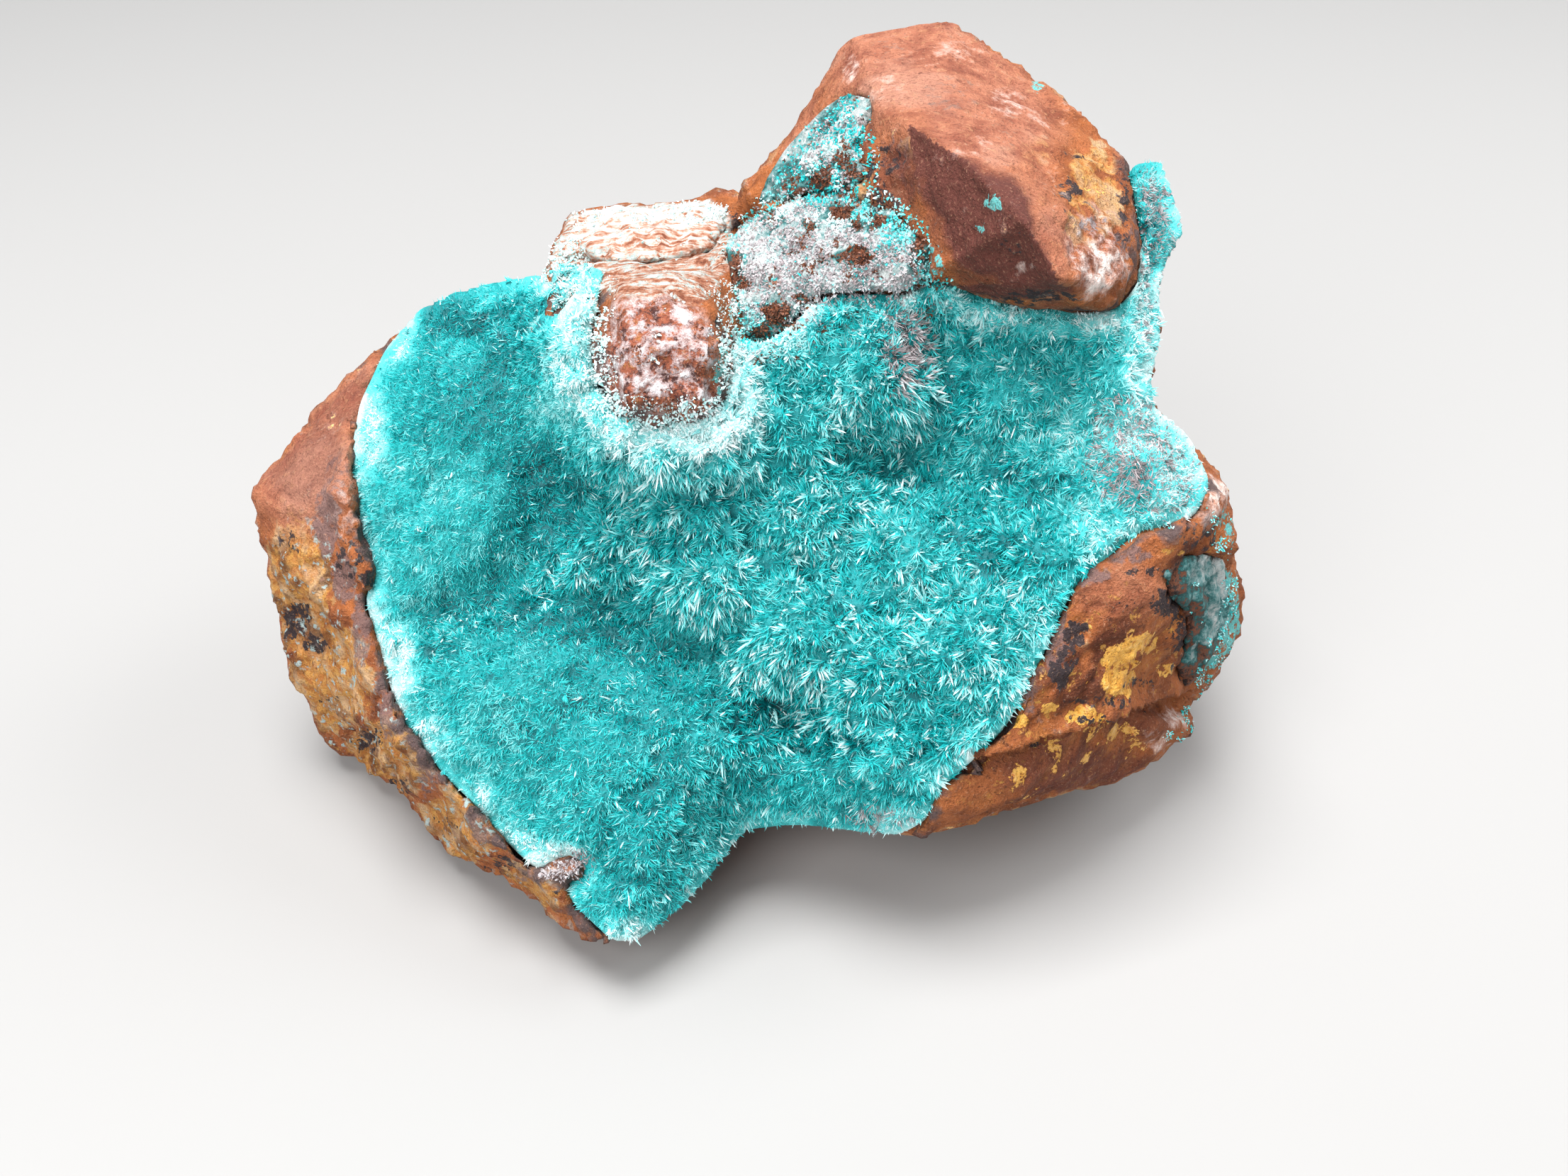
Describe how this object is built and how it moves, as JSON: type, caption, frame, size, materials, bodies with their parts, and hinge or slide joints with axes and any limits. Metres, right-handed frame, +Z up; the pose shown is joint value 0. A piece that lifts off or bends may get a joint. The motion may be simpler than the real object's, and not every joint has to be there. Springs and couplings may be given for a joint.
{
  "type": "aurichalcite specimen",
  "caption": "Broken piece of brown limonite whose open hollow is lined with a crust of teal needle crystals, resting on a flat broken face.",
  "frame": {"origin": "centre of the footprint box at the height of the resting face", "axes": "+X to the viewer's right along the longest extent, -Y towards the hollow's side, +Z up"},
  "size_m": [0.0622, 0.0468, 0.0438],
  "materials": {
    "limonite": "matt broken stone, rust brown with ochre and black patches",
    "aurichalcite": "silky teal needles with pale glinting tips",
    "druse": "fine sparkling grey violet crystals with dark specks",
    "pale_flank_crust": "matt pale aqua lumps",
    "pale_shelf_crust": "matt white and aqua bands",
    "pale_slab_crust": "matt pale aqua lumps"
  },
  "bodies": {
    "root": {"limonite_matrix": "limonite", "aurichalcite_crust": "aurichalcite", "grey_druse": "druse", "flank_crust": "pale_flank_crust", "shelf_crust": "pale_shelf_crust", "slab_crust": "pale_slab_crust"}
  },
  "joints": []
}
